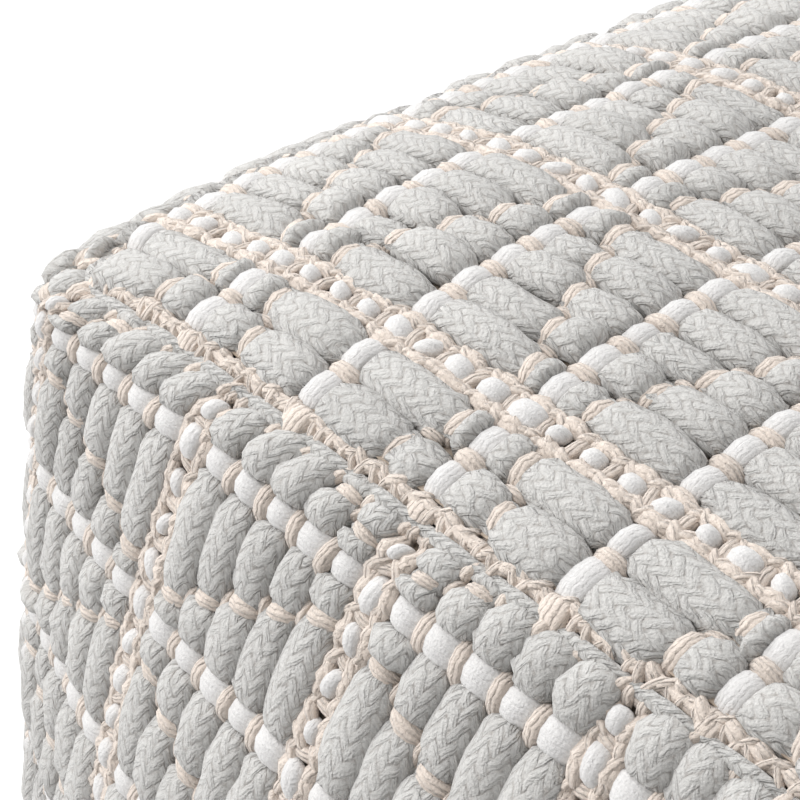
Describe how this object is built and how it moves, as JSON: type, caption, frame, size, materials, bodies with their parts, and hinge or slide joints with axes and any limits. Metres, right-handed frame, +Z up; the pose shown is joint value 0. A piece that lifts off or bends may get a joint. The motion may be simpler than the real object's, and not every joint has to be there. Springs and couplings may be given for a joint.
{
  "type": "woven cotton pouf",
  "caption": "Square floor pouf with bulging sides and a crowned top, covered in cloth woven from thick braided cords, with fine white columns and knotted bands.",
  "frame": {"origin": "centre of the base, on the surface the pouf rests on", "axes": "+Z up; the four sides face +X, -X, +Y and -Y; the top panel's thick cords run along X"},
  "size_m": [0.498, 0.498, 0.383],
  "materials": {
    "cord_weave": "matt light grey braided cotton cord, soft and slightly fuzzy",
    "beige_yarn": "matt pale beige cotton yarn in threes and fours",
    "white_yarn": "matt off-white soft cotton yarn in fours and fives"
  },
  "bodies": {
    "root": {"top_panel": "cord_weave", "side_band": "cord_weave", "base_panel": "cord_weave"}
  },
  "joints": []
}
